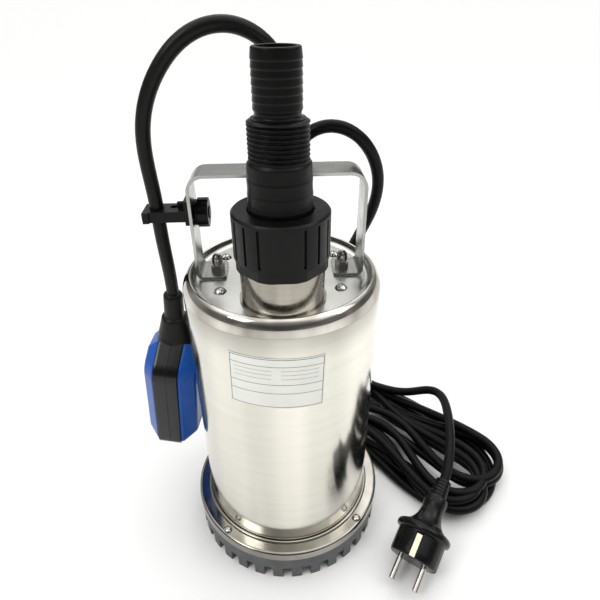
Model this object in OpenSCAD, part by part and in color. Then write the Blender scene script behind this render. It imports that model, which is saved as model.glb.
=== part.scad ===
// Submersible sump pump with a float switch and a rubber mains lead.
// The pump's shaft is the Z axis, and z = 0 is the floor it stands on.
// The front, with the rating label, looks along -Y.

/* [Casing] */
// Outer radius of the stainless shell
shell_r = 67; // [66.5:0.1:67.5]
// Wall thickness of the shell
shell_t = 1.2; // [0.8:0.1:1.4]
// Height of the flat part of the top cover
lid_z = 235.5; // [235:0.1:236]
// Outer radius of the base flange
flange_r = 78.5; // [78:0.1:79]
// Height of the base flange's top face
flange_z = 32; // [31.5:0.1:32.5]

/* [Strainer] */
// Outer radius of the strainer
strainer_r = 77.5; // [77:0.1:77.8]
// Number of feet around the strainer
feet = 32; // [24:2:36]
// Height of the intake notches between the feet
notch_h = 11.5; // [9:0.5:12]
// Width of one foot at its outside
foot_w = 8; // [6:0.5:9]

/* [Outlet] */
// Offset of the outlet axis towards the front
outlet_y = -28.5; // [-29:0.1:-28]
// Outer radius of the outlet stub
stub_r = 26.1; // [25.5:0.1:26.3]
// Height of the union nut's top face
nut_top = 294; // [293:0.5:295]
// Outer radius of the union nut
nut_r = 28.9; // [28.5:0.1:29.2]
// Number of grip slots in each quarter of the union nut
nut_slots = 3; // [2:1:3]
// Inner radius of the hose adapter's top barb
hose_bore_r = 10; // [9:0.1:10.5]
// Height of the hose adapter's top end
adapter_top = 376.5; // [375:0.5:378]

/* [Handle] */
// Outer width of the handle
handle_w = 111; // [110:0.5:112]
// Height of the top of the handle
handle_top = 306.5; // [305.5:0.5:308]
// Width of the handle strap
strap_w = 23; // [21:0.5:24]
// Thickness of the handle strap
strap_t = 2; // [1.8:0.1:2.4]

/* [Float] */
// Half the width of the float
float_w = 32; // [30:0.5:33]
// Half the thickness of the whole float
float_t = 20.5; // [18:0.5:20.5]
// Half the thickness of the black band between the blue shells
band_t = 8.5; // [7.5:0.5:9]

/* [Cables] */
// Radius of the mains lead
cord_r = 4.2; // [4:0.1:4.3]
// Radius of the float cable
float_cable_r = 4.5; // [4.3:0.1:4.5]
// Sides of the swept cable tubes
tube_sides = 10; // [8:1:12]

/* [Motor] */
// Outer radius of the stator
stator_r = 52.7; // [50:0.1:52.7]
// Outer radius of the rotor
rotor_r = 26.7; // [26:0.1:26.7]
// Number of stator slots
stator_slots = 24; // [12:4:24]
// Radius of the impeller
impeller_r = 40; // [36:0.5:41]
// Number of impeller vanes
vanes = 6; // [5:1:7]

/* [Hidden] */
$fn = 72;
e = 0.05;
outlet_x = 0.5;
handle_x = -1;              // middle of the handle across
handle_y = 5.7;             // middle of the handle front to back
stud_r = 2.5;
stud_dx = 42.5;             // studs from the handle's middle
screw_dx = 39;              // cover screws from the handle's middle
screw_y = 2.4;
screw_dy = 23.8;
gland_y = 36;
power_gland_x = 12;
float_gland_x = -14;
flange_screw_r = 74;
flange_screw_a = [-132.2, -42.2, 47.8, 137.8];
leg_x = handle_x - handle_w/2;      // outer face of the left leg
clip_y = 9.5;
clip_z = 277.5;                     // middle height of the clip's arm
cable_x = -79;                      // where the float cable passes the clip
hinge = [-79, 9.5, 265];             // the point the float swings about
float_at = [-75, 14.5, 265];        // top of the float's own axis
float_lean = 5.8;
float_pitch = 5;
float_yaw = -7;

// Routes of the cables, as points along their middles
float_route = [[-14,36,262],[-13,36,278],[-10,36,293.5],[-4.5,36,308.5],[1,35,323],[5,33,338.5],[5,29.5,353.5],[0,24.5,368],
    [-10.5,19.5,378.5],[-24.5,15,384],[-40,11.5,382.5],[-53.5,10,375],[-64.5,9.5,363.5],[-73,9.5,350],[-78.5,9.5,335],[-80.5,9.5,319.5],
    [-80,9.5,303.5],[-79,9.5,288],[-79,9.5,272]];
lower_route = [[-79,9.5,265],[-79,10.5,254],[-79.1,12.7,243],[-79.4,15.5,231],[-79.9,17.8,220],[-80.4,19.2,211.5],[-80.9,19.6,206.5]];
power_route = [[12,36,262],[11.5,36,276],[9,36,290],[9,35,304],[15,33,317],[27,31,325.5],[41.5,30,325.5],[54.5,31.5,317.5],
    [64,35,304.5],[69.5,39,289],[70,43.5,273],[67.5,49,257],[63,54.5,242.5],[58.5,60,228.5],[54,65.5,213.5],[50,69.5,198.5],
    [48,72,183],[47.5,73,167],[47.5,73.5,150],[48,73.5,134],[48.5,73.5,118],[48.5,74,102],[48.5,74.5,86],[48,75.5,70],
    [46.5,77.5,54],[44.5,80,38.5],[42,84,23]];
plug_route = [[113,104,26],[125.5,96,31],[137,91,36],[147,89,41],[155,82.5,45.5],[158.5,71,49],[158,57,51.5],[155.5,41,53],[152,25,53.8],
    [148,9,53],[143,-6,51],[137.6,-19.2,48.2],[131.7,-28.8,44.5],[128.7,-33,42.2]];

// Hank of cord on the floor
hank_c = [108, 74];
hank_a = -48;
hank_run = 150;
hank_w = 98;
hank_h = 29;
feet_a = -92;               // direction of one notch, near the front

// Plug: the middle of its front face, its turn and its tilt
plug_c = [95.7, -79.8, 17.6];
plug_yaw = -125.2;
plug_tilt = 23.3;

// ---------- helpers ----------
module ring(ro, ri, h) { difference() { cylinder(r=ro, h=h); translate([0,0,-1]) cylinder(r=ri, h=h+2); } }
module at_outlet() { translate([outlet_x, outlet_y, 0]) children(); }
module cover_screw_places() { for (x=[-1,1], y=[-1,1]) translate([handle_x+0.1+x*screw_dx, screw_y+y*screw_dy, 0]) children(); }
module stud_places() { for (x=[-1,1]) translate([handle_x+x*stud_dx, handle_y, 0]) children(); }
module gland_places() { for (x=[power_gland_x, float_gland_x]) translate([x, gland_y, 0]) children(); }
module flange_screw_places() { for (a=flange_screw_a) rotate([0,0,a]) translate([flange_screw_r,0,0]) children(); }
module float_frame() { translate(float_at) rotate([float_pitch, float_lean, 0]) rotate([0,0,float_yaw]) children(); }
module plug_frame() { translate(plug_c) rotate([0,0,plug_yaw]) rotate([0,plug_tilt,0]) rotate([0,90,0]) children(); }

function cr(a,b,c,d,t) = 0.5*((2*b)+(c-a)*t+(2*a-5*b+4*c-d)*t*t+(3*b-a-3*c+d)*t*t*t);
function smooth(p, k) = let(n=len(p)) concat([for (i=[0:n-2]) for (j=[0:k-1])
    cr(p[max(i-1,0)], p[i], p[i+1], p[min(i+2,n-1)], j/k)], [p[n-1]]);
function unit(v) = v/norm(v);
function tangent(p,i) = unit(p[min(i+1,len(p)-1)]-p[max(i-1,0)]);
// A round tube swept along points p, with s sides, radius r and a direction across it
module tube(p, r, s, across, dome=false) {
    up = -tangent(p,0);
    rings = concat([for (a=[15:15:75]) if (dome) [p[0]+r*cos(a)*up, -up, r*sin(a)]], [for (i=[0:len(p)-1]) [p[i], tangent(p,i), r]]);
    n = len(rings);
    pts = [for (q=rings) let(u=unit(cross(q[1],across)), v=cross(q[1],u))
        for (j=[0:s-1]) q[0]+q[2]*(cos(360*j/s)*u+sin(360*j/s)*v)];
    polyhedron(points=pts, faces=concat([[for (j=[0:s-1]) j]], [[for (j=[s-1:-1:0]) (n-1)*s+j]],
        [for (i=[0:n-2]) for (j=[0:s-1]) [i*s+j, (i+1)*s+j, (i+1)*s+(j+1)%s, i*s+(j+1)%s]]));
}

// ---------- casing ----------
module outer_shell() color("gainsboro") translate([0,0,30.5]) ring(shell_r, shell_r-shell_t, 203.5);

// Rolled seam that joins the shell and the cover
module rim_seam() color("lightgray") rotate_extrude() difference() {
    union() { translate([64.1,237]) circle(r=3.6); translate([60.8,234]) square([6.4,3]); }
    translate([55,230]) square([20,4]);
}

module top_cover() color("silver") difference() {
    union() {
        translate([0,0,lid_z-1.5]) cylinder(r=60.8, h=1.5);
        rotate_extrude() difference() { translate([56.4,lid_z-0.1]) square([4.1,4.1]); translate([56.4,lid_z+4]) circle(r=4); }
    }
    at_outlet() translate([0,0,220]) cylinder(r=stub_r, h=40);
    cover_screw_places() translate([0,0,220]) cylinder(r=2.5, h=40);
    stud_places() translate([0,0,220]) cylinder(r=stud_r, h=40);
    gland_places() translate([0,0,220]) cylinder(r=8, h=40);
}

// Pressed foot ring of the casing, rounded at its outer edge
module base_flange() color("silver") difference() {
    rotate_extrude() {
        translate([shell_r+e, flange_z-1.5]) square([flange_r-2.5-shell_r-e, 1.5]);
        translate([flange_r-1.5, flange_z-7.2]) square([1.5, 4.7]);
        translate([flange_r-2.5, flange_z-2.5]) intersection() { difference() { circle(r=2.5); circle(r=1); } square([2.5,2.5]); }
    }
    flange_screw_places() cylinder(r=2.1, h=60);
}

module pan_screw(len, r, head_r, head_h) {
    translate([0,0,-len]) cylinder(r=r, h=len+0.2, $fn=32);
    difference() {
        rotate_extrude($fn=48) intersection() {
            translate([0,0]) square([head_r, head_h]);
            translate([0, head_h-(head_r*head_r+head_h*head_h)/(2*head_h)]) circle(r=(head_r*head_r+head_h*head_h)/(2*head_h), $fn=96);
        }
        for (a=[0,90]) rotate([0,0,a]) translate([-head_r*0.55,-0.45,head_h-1.1]) cube([head_r*1.1,0.9,2]);
    }
}

module flange_screws() color("white") flange_screw_places() translate([0,0,flange_z]) pan_screw(9, 2, 3.6, 2.2);
module cover_screws() color("white") cover_screw_places() translate([0,0,lid_z]) pan_screw(lid_z-225, 2.4, 4.2, 2.8);

module strainer_ring() color("dimgray") difference() {
    union() {
        translate([0,0,notch_h]) ring(strainer_r, strainer_r-3.2, flange_z-7.2-notch_h);
        translate([0,0,flange_z-10.2]) ring(flange_r-1.55, 66.2, 3);
        translate([0,0,flange_z-7.2]) ring(flange_r-1.55, 67.3, 4.65);
        translate([0,0,flange_z-3]) ring(flange_r-2.55, 67.3, 1.45);
        for (a=flange_screw_a) rotate([0,0,a]) translate([flange_screw_r-3,0,notch_h+2]) cylinder(r=3.3, h=8);
    }
    flange_screw_places() translate([0,0,flange_z-9.1]) cylinder(r=2, h=20, $fn=32);
}

// The castellated edge: one separate block for each foot
module strainer_feet() color("dimgray") for (i=[0:feet-1]) rotate([0,0,(i+0.5)*360/feet+feet_a])
    intersection() {
        ring(strainer_r, strainer_r-3.2, notch_h);
        translate([strainer_r-6, -foot_w/2, -1]) cube([12, foot_w, notch_h+2]);
    }

// Closed plate under the suction side, carried by ribs from the ring
module base_plate() color("dimgray") {
    cylinder(r=62, h=3);
    for (i=[0:7]) rotate([0,0,(floor(feet/8)*i+0.5)*360/feet+feet_a]) translate([58,-1.5,0]) cube([strainer_r-3.2-58-0.4, 3, notch_h]);
    for (i=[0:7]) rotate([0,0,(floor(feet/8)*i+0.5)*360/feet+feet_a]) translate([55,-1.5,0]) cube([6, 3, 12]);
}

module rating_label() color("white") intersection() {
    translate([0,0,160]) ring(shell_r+0.25, shell_r, 70);
    rotate([0,0,-4.7]) translate([0,-shell_r,195.5]) rotate([0,1.7,0]) translate([-29.8,-20,-20.3]) cube([59.6,40,40.6]);
}

// ---------- outlet ----------
module outlet_stub() color("silver") at_outlet() difference() {
    union() {
        translate([0,0,lid_z-3]) cylinder(r=stub_r, h=279-lid_z+3);
        translate([0,0,lid_z]) cylinder(r=stub_r+1.3, h=1.2);
    }
    translate([0,0,200]) cylinder(r=stub_r-2, h=100);
}
module outlet_gasket() color("black") at_outlet() translate([0,0,279]) ring(25.6, 17, 3);

module union_nut() color([0.12,0.12,0.12]) at_outlet() difference() {
    union() {
        translate([0,0,266]) cylinder(r=nut_r, h=nut_top-267.2);
        translate([0,0,nut_top-1.2]) rotate_extrude() polygon([[0,0],[nut_r,0],[nut_r-1.2,1.2],[0,1.2]]);
        intersection() {
            translate([0,0,259.5]) cylinder(r=28.3, h=7);
            rotate([0,0,22.5]) translate([0,0,259.5]) cylinder(r=29.5, h=7, $fn=8);
        }
    }
    translate([0,0,250]) cylinder(r=stub_r+0.08, h=37.7);
    translate([0,0,250]) cylinder(r=19.4, h=60);
    for (q=[0:3], k=[0:nut_slots-1]) rotate([0,0,q*90+26+k*19]) translate([nut_r-1.3,-0.9,268]) cube([4,1.8,nut_top-268-2.6]);
}

module hose_adapter() color([0.1,0.1,0.1]) at_outlet() difference() {
    rotate_extrude() polygon(concat(
        [[0,282],[25.6,282],[25.6,287.4],[18.9,287.4],[18.5,292],[18.9,296],[18.5,302],[18.9,303],[18.3,311],[18.7,312],[18.1,320.5],[17.2,322]],
        [for (i=[0:7]) for (q=[[15.6,0.3],[16.6,1.1],[16.6,1.6],[15.6,2.4]]) [q[0], 322+i*2.45+q[1]]],
        [[15.8,342],[15.2,343],[12.3,343.4],[12.3,346]],
        [for (i=[0:3]) for (q=[[13.1,0],[12.4,5.1]]) [q[0], 347.9+i*5.8+q[1]]],
        [[13.1,371.1],[12.6,adapter_top-0.6],[12.1,adapter_top],[0,adapter_top]]));
    translate([0,0,270]) cylinder(r=15, h=45);
    translate([0,0,314.9]) rotate_extrude() polygon([[0,0],[15,0],[hose_bore_r,12],[0,12]]);
    translate([0,0,320]) cylinder(r=hose_bore_r, h=80);
}

// ---------- handle ----------
module strap_2d() {
    w = handle_w/2; t = strap_t; ro = 11; rf = 5;
    for (m=[0,1]) mirror([m,0]) {
        translate([w-t, lid_z+rf]) square([t, handle_top-lid_z-rf-ro]);
        translate([w-ro, handle_top-ro]) intersection() { difference() { circle(r=ro); circle(r=ro-t); } square([ro,ro]); }
        translate([-0.01, handle_top-t]) square([w-ro+0.01, t]);
        translate([w-rf, lid_z+rf]) intersection() { difference() { circle(r=rf); circle(r=rf-t); } translate([0,-rf]) square([rf,rf]); }
        translate([w-19.5, lid_z]) square([19.5-rf, t]);
    }
}
module handle_strap() color("lightgray") difference() {
    translate([handle_x, handle_y+strap_w/2, 0]) rotate([90,0,0]) linear_extrude(strap_w) strap_2d();
    stud_places() translate([0,0,lid_z-2]) cylinder(r=stud_r, h=8);
    translate([leg_x-2, clip_y, clip_z]) rotate([0,90,0]) cylinder(r=4, h=6);
    // rounded front and back corners of the feet
    for (x=[-1,1], y=[-1,1]) translate([handle_x+x*(handle_w/2-19.5), handle_y+y*strap_w/2, lid_z-1]) difference() {
        translate([-3,-3,0]) cube([6,6,5]);
        translate([x*3,-y*3,-1]) cylinder(r=3, h=8, $fn=48);
        translate([x>0 ? 3-e : -3-5, -6, -1]) cube([5+e,12,8]);
        translate([-6, y>0 ? -3-5 : 3-e, -1]) cube([12,5+e,8]);
    }
}
module handle_studs() color("lightgray") stud_places() {
    translate([0,0,lid_z-7]) cylinder(r=stud_r, h=16.5, $fn=48);
    translate([0,0,lid_z+9.5]) cylinder(r1=stud_r, r2=stud_r-0.6, h=0.8, $fn=48);
}
module handle_nuts() color("lightgray") stud_places() translate([0,0,lid_z+strap_t]) difference() {
    union() {
        cylinder(r=4.62, h=5, $fn=6);
        rotate_extrude($fn=48) polygon([[0,4.9],[3.7,4.9],[3.7,7.2],[3.5,8.6],[3,10],[2.2,11.2],[1.1,11.9],[0,12]]);
    }
    translate([0,0,-1]) cylinder(r=stud_r, h=9.6, $fn=48);
}

// ---------- cable glands in the cover ----------
module gland_bodies() color([0.15,0.15,0.15]) gland_places() difference() {
    union() {
        translate([0,0,222]) cylinder(r=8, h=32);
        translate([0,0,lid_z]) cylinder(r=11.5, h=5, $fn=6);
    }
    translate([0,0,200]) cylinder(r=4.6, h=80);
}
module gland_nut(r) {
    difference() {
        union() {
            translate([0,0,lid_z+5.5]) cylinder(r=11, h=9, $fn=8);
            translate([0,0,lid_z+14.5]) rotate_extrude() polygon([[0,0],[10.2,0],[9.6,5],[8,9],[6.2,12],[0,12]]);
        }
        translate([0,0,230]) cylinder(r=8, h=24);
        translate([0,0,230]) cylinder(r=r+0.3, h=40);
    }
}
module power_gland_nut() color([0.1,0.1,0.1]) translate([power_gland_x, gland_y, 0]) gland_nut(cord_r);
module float_gland_nut() color([0.1,0.1,0.1]) translate([float_gland_x, gland_y, 0]) gland_nut(float_cable_r);

// ---------- clip that holds the float cable at the handle ----------
module clip_arm() color([0.15,0.15,0.15]) difference() {
    union() {
        translate([leg_x-4, clip_y-8, 271.5]) cube([4, 16, 16]);
        translate([leg_x-30.5, clip_y-8, clip_z-3.5]) cube([26.6, 16, 7]);
        translate([leg_x-30.5, clip_y-9.5, clip_z-3.5]) cube([4, 3, 7]);
        translate([leg_x-0.1, clip_y, clip_z]) rotate([0,90,0]) cylinder(r=3.95, h=11.6);
        translate([leg_x-9, clip_y-1.2, clip_z+3.4]) cube([5.1, 2.4, 4]);
    }
    translate([cable_x, clip_y, 260]) cylinder(r=float_cable_r+0.1, h=40);
    translate([leg_x-11.5, clip_y+1.5, 260]) cylinder(r=2.6, h=40);
}
module clip_knob() color([0.1,0.1,0.1]) translate([leg_x+strap_t+0.3, clip_y, clip_z]) rotate([0,90,0]) difference() {
    union() {
        cylinder(r=8.4, h=1.6);
        for (i=[0:7]) rotate([0,0,i*45]) translate([-9.3,-2.1,1.6]) cube([18.6,4.2,6.6]);
        translate([0,0,1.5]) cylinder(r=8.6, h=6.9);
    }
    translate([0,0,-1]) cylinder(r=4, h=12);
}

// ---------- float switch ----------
module float_cable_upper() color([0.08,0.08,0.08]) tube(smooth(float_route, 1), float_cable_r, tube_sides, [0,1,0]);
module float_cable_lower() color([0.08,0.08,0.08]) {
    tube(smooth(lower_route, 1), float_cable_r, tube_sides, [0,1,0.3], true);
}
module cable_boot() color([0.1,0.1,0.1]) float_frame() difference() {
    translate([0,0,-94]) rotate_extrude() polygon([[0,0],[13.6,0],[10,18],[9.2,19.1],[7.5,19.4],[7.2,39],[6.5,40],[0,40]]);
    translate([0,0,-61]) cylinder(r=float_cable_r+0.3, h=10, $fn=48);
}
// Outline of the float's middle plane, hanging below the swing point
module float_outline(inset) {
    w = float_w-inset; zt = -94-inset; zs = -110-inset*0.35; zb = -191+inset;
    polygon([[-10+inset*0.2,zt],[10-inset*0.2,zt],[w-3.4,zs+2.6],[w-0.9,zs+0.4],[w,zs-3],[w,zb+9],[w-2.6,zb+2.6],[w-9,zb],
        [-w+9,zb],[-w+2.6,zb+2.6],[-w,zb+9],[-w,zs-3],[-w+0.9,zs+0.4],[-w+3.4,zs+2.6]]);
}
module float_slab(x0, x1, inset) translate([x0,0,0]) rotate([90,0,90]) linear_extrude(x1-x0) float_outline(inset);
module float_band() color([0.08,0.08,0.08]) float_frame() difference() {
    float_slab(-band_t, band_t, 0);
    float_slab(-band_t-1, band_t+1, 3.2);
}
// A hollow half of the float, with a spigot that sits inside the band
module float_half() difference() {
    union() {
        float_slab(band_t-2.3, band_t+0.3, 3.4);
        hull() { float_slab(band_t+0.05, band_t+1, 1.2); float_slab(float_t-1, float_t, 10.5); }
    }
    float_slab(band_t-3, band_t+1.5, 5.6);
    hull() { float_slab(band_t+1.4, band_t+2, 5.6); float_slab(float_t-3.2, float_t-2.6, 13); }
}
module float_shell_outer() color("royalblue") float_frame() mirror([1,0,0]) float_half();
module float_shell_inner() color("royalblue") float_frame() float_half();
module ball_tube() color("ivory") float_frame() translate([0,0,-187.8]) difference() {
    union() { cylinder(r=5.6, h=9); translate([0,0,8.8]) cylinder(r=7.4, h=50); }
    translate([0,0,10.3]) cylinder(r=6.3, h=60);
}
module microswitch() color("ivory") float_frame() translate([-6,-10,-129]) cube([12,20,14]);
module switch_ball() color("silver") float_frame() translate([0,0,-171]) sphere(r=6, $fn=48);

// ---------- mains lead ----------
module power_cord() color([0.08,0.08,0.08]) tube(smooth(power_route, 1), cord_r, tube_sides, [0.7,0.7,0]);
module cord_hank() color([0.08,0.08,0.08]) translate([hank_c[0], hank_c[1], 0]) rotate([0,0,hank_a]) linear_extrude(hank_h) {
    square([hank_run, hank_w], center=true);
    for (s=[-1,1]) translate([s*hank_run/2,0]) circle(r=hank_w/2);
}
module plug_cord() color([0.08,0.08,0.08]) tube(smooth(plug_route, 2), cord_r, tube_sides, [0,0,1]);
module plug_relief() color([0.1,0.1,0.1]) plug_frame() translate([0,0,-69]) difference() {
    rotate_extrude() polygon(concat([[0,0],[6.2,0]], [for (i=[0:4]) for (q=[[6.3+i*0.16,0.2],[6.3+i*0.16,1.8],[5.6+i*0.16,2],[5.6+i*0.16,2.7]]) [q[0], i*2.8+q[1]]], [[7.1,14.2],[7.1,15],[0,15]]));
    translate([0,0,-1]) cylinder(r=cord_r, h=8);
}
module plug_body() color([0.1,0.1,0.1]) plug_frame() difference() {
    rotate_extrude() polygon([[0,0],[18,0],[18.9,-0.9],[19.1,-19.6],[20.4,-20.2],[21.6,-21.2],[22,-22.6],[22,-24.4],[21,-26],[17,-27.8],[13,-30.5],
        [10.6,-34],[9.2,-38.5],[8.8,-43],[9.3,-46],[9.6,-48],[9.4,-52.5],[8.4,-54],[0,-54]]);
    for (x=[-1,1]) translate([0,9.5*x,-12]) cylinder(r=2, h=20, $fn=48);
    for (x=[-1,1]) translate([x*18.4-2.2,-2.5,-18]) cube([4.4,5,30]);
    for (x=[-1,1]) translate([0,x*19.6,-18.5]) cylinder(r=2.7, h=30, $fn=48);
}
module plug_pins() color("gainsboro") plug_frame() for (x=[-1,1]) translate([0,9.5*x,-12]) {
    cylinder(r=2, h=12.5, $fn=48);
    translate([0,0,12.4]) cylinder(r=2.4, h=18, $fn=48);
    translate([0,0,30.4]) rotate_extrude($fn=48) polygon([[0,0],[2.4,0],[1.9,0.6],[0,0.8]]);
}
module plug_earth_strips() color("khaki") plug_frame() for (x=[-1,1]) translate([x*17.6-0.9,-2.1,-17.8]) cube([1.8,4.2,17.4]);

// ---------- hydraulics ----------
module suction_cover() color("dimgray") translate([0,0,12]) ring(62, 16, 3);
module volute_ring() color("dimgray") difference() {
    translate([0,0,15]) ring(65.5, 44, 12);
    for (a=[30:60:330]) rotate([0,0,a]) translate([40,-4,18]) cube([24,8,10]);
}
module impeller() color("black") translate([0,0,16.5]) difference() {
    union() {
        translate([0,0,6.5]) cylinder(r=impeller_r, h=1.5);
        ring(impeller_r, 15, 1.2);
        for (i=[0:vanes-1]) rotate([0,0,i*360/vanes]) translate([0,-20,1.1]) intersection() {
            ring(34.9, 33.1, 5.5);
            translate([0,3,-1]) cube([40,40,8]);
        }
        cylinder(r=8, h=8);
    }
    translate([0,0,-1]) cylinder(r=5, h=12);
}
module impeller_nut() color("silver") translate([0,0,12.4]) difference() { cylinder(r=6.9, h=4.1, $fn=6); translate([0,0,-1]) cylinder(r=4, h=8, $fn=48); }
module seal_plate() color("dimgray") difference() {
    translate([0,0,27]) cylinder(r=65.6, h=4.5);
    translate([0,0,20]) cylinder(r=13, h=20);
    for (a=[30:60:330]) rotate([0,0,a]) translate([60,0,20]) cylinder(r=4, h=20, $fn=48);
}
module shaft_seal_seat() color("ivory") translate([0,0,33.5]) ring(13, 7.2, 5);
module shaft_seal_head() color("black") { translate([0,0,26.5]) ring(10.5, 5, 5.9); translate([0,0,32.4]) ring(9, 5, 1.05); }

// ---------- motor ----------
module lower_carrier() color("lightgray") difference() {
    translate([0,0,31.5]) cylinder(r=52.7, h=30);
    translate([0,0,31]) cylinder(r=13, h=7.5);
    translate([0,0,38]) cylinder(r=20, h=10);
    translate([0,0,47.9]) cylinder(r=12.5, h=3);
    translate([0,0,50.5]) cylinder(r=17.5, h=12);
}
module upper_carrier() color("lightgray") difference() {
    translate([0,0,160]) cylinder(r=52.7, h=14);
    translate([0,0,159]) cylinder(r=16, h=12.5);
    translate([0,0,170]) cylinder(r=11, h=2.7);
    gland_places() translate([0,0,150]) cylinder(r=4, h=40);
}
module bearing_outer_rings() color("silver") {
    translate([0,0,50.5]) ring(17.5, 14.8, 11);
    translate([0,0,161.5]) ring(16, 13.6, 10);
}
module bearing_balls() color("white") {
    for (i=[0:7]) rotate([0,0,i*45]) translate([12.9,0,56]) sphere(r=1.85, $fn=32);
    for (i=[0:7]) rotate([0,0,i*45]) translate([11.55,0,166.5]) sphere(r=2, $fn=32);
}
module bearing_inner_rings() color("silver") {
    translate([0,0,50.5]) ring(11, 7.5, 11);
    translate([0,0,161.5]) ring(9.5, 6, 10);
}
module motor_can() color("silver") translate([0,0,31.5]) ring(54, 52.75, 190.5);
module motor_cover() color("silver") difference() {
    union() { translate([0,0,222]) cylinder(r=54, h=3); translate([0,0,216]) ring(52.7, 49.5, 6.1); }
    translate([0,0,218]) ring(54, 51.15, 1.7);
    gland_places() translate([0,0,200]) cylinder(r=8, h=40);
}
module can_o_ring() color("black") translate([0,0,219]) rotate_extrude() translate([51.95,-0.15]) circle(r=0.8, $fn=32);
module stator_core() color("slategray") translate([0,0,82]) difference() {
    ring(stator_r, rotor_r+0.5, 62);
    for (i=[0:stator_slots-1]) rotate([0,0,i*360/stator_slots]) translate([rotor_r+2,-1.5,-1]) cube([12,3,64]);
}
module stator_windings() color("peru") {
    for (z=[68,144]) translate([0,0,z]) ring(44, 29.5, 14);
    for (i=[0:stator_slots-1]) rotate([0,0,i*360/stator_slots]) translate([rotor_r+3,-1.3,82]) cube([10,2.6,62]);
}
module rotor_core() color("gray") translate([0,0,82]) ring(rotor_r, 8, 62);
module rotor_end_rings() color("silver") for (z=[76,144]) translate([0,0,z]) ring(rotor_r-0.5, 16, 6);
module motor_shaft() color("lightgray") {
    translate([0,0,12.4]) cylinder(r=4, h=4.2);
    translate([0,0,16.5]) cylinder(r=5, h=34.1);
    translate([0,0,50.5]) cylinder(r=7.5, h=11.1);
    translate([0,0,61.5]) cylinder(r=8, h=100);
    translate([0,0,161.4]) cylinder(r=6, h=10.1);
}
module run_capacitor() color("whitesmoke") translate([-28,-12,191]) rotate([0,90,0]) cylinder(r=17, h=56);
module motor_leads() color("brown") gland_places() translate([0,0,158]) cylinder(r=3, h=104, $fn=32);

outer_shell();
rim_seam();
top_cover();
base_flange();
flange_screws();
strainer_ring();
strainer_feet();
base_plate();
rating_label();
cover_screws();
outlet_stub();
outlet_gasket();
union_nut();
hose_adapter();
handle_strap();
handle_studs();
handle_nuts();
gland_bodies();
power_gland_nut();
float_gland_nut();
clip_arm();
clip_knob();
float_cable_upper();
float_cable_lower();
cable_boot();
float_band();
float_shell_outer();
float_shell_inner();
ball_tube();
microswitch();
switch_ball();
power_cord();
cord_hank();
plug_cord();
plug_relief();
plug_body();
plug_pins();
plug_earth_strips();
suction_cover();
volute_ring();
impeller();
impeller_nut();
seal_plate();
shaft_seal_seat();
shaft_seal_head();
lower_carrier();
upper_carrier();
bearing_outer_rings();
bearing_balls();
bearing_inner_rings();
motor_can();
motor_cover();
can_o_ring();
stator_core();
stator_windings();
rotor_core();
rotor_end_rings();
motor_shaft();
run_capacitor();
motor_leads();
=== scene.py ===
import math
import bpy
from mathutils import Matrix, Vector


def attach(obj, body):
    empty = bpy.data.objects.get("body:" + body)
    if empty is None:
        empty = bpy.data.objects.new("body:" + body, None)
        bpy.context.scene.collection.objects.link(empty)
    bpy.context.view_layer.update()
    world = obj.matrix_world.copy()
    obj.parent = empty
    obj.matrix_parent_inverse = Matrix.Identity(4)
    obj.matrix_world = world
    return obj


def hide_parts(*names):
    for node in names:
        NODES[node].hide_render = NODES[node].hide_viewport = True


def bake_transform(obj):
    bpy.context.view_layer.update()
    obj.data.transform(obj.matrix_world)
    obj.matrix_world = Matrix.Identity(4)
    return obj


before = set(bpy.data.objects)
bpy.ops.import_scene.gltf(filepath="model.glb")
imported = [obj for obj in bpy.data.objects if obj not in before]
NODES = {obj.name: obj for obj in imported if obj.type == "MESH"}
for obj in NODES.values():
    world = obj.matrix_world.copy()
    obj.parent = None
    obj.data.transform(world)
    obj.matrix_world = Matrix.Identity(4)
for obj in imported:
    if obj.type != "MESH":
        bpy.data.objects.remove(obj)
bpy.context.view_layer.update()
MM = 0.001


def V(*p):
    return Vector(p) * MM


# ---------------------------------------------------------------- camera
def make_camera():
    th, ps, ro = 0.562, math.radians(2.403), math.radians(-0.488)
    f = Vector((math.sin(ps) * math.cos(th), math.cos(ps) * math.cos(th), -math.sin(th)))
    r = f.cross(Vector((0, 0, 1))).normalized()
    u = r.cross(f)
    r2 = math.cos(ro) * r + math.sin(ro) * u
    u2 = -math.sin(ro) * r + math.cos(ro) * u
    cam = bpy.data.objects.new("camera", bpy.data.cameras.new("camera"))
    bpy.context.scene.collection.objects.link(cam)
    cam.data.lens, cam.data.sensor_width = 29.374, 36.0
    cam.data.clip_start = 0.01
    cam.matrix_world = Matrix(((r2.x, u2.x, -f.x, 0), (r2.y, u2.y, -f.y, -0.29238),
                               (r2.z, u2.z, -f.z, 0.39804), (0, 0, 0, 1)))
    bpy.context.scene.camera = cam


make_camera()


# ---------------------------------------------------------------- helpers
def link(o):
    bpy.context.scene.collection.objects.link(o)
    return o


def mesh(name, verts, faces, smooth=True, angle=None):
    me = bpy.data.meshes.new(name)
    me.from_pydata([tuple(v) for v in verts], [], faces)
    me.update()
    me.validate()
    for p in me.polygons:
        p.use_smooth = smooth
    if smooth and angle:
        me.set_sharp_from_angle(angle=math.radians(angle))
    return link(bpy.data.objects.new(name, me))


def cr(a, b, c, d, t):
    return 0.5 * (2 * b + (c - a) * t + (2 * a - 5 * b + 4 * c - d) * t * t + (3 * b - a - 3 * c + d) * t ** 3)


def smooth_path(pts, k):
    pts = [Vector(p) for p in pts]
    n, out = len(pts), []
    for i in range(n - 1):
        for j in range(k):
            out.append(cr(pts[max(i - 1, 0)], pts[i], pts[i + 1], pts[min(i + 2, n - 1)], j / k))
    out.append(pts[-1])
    return out


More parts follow.
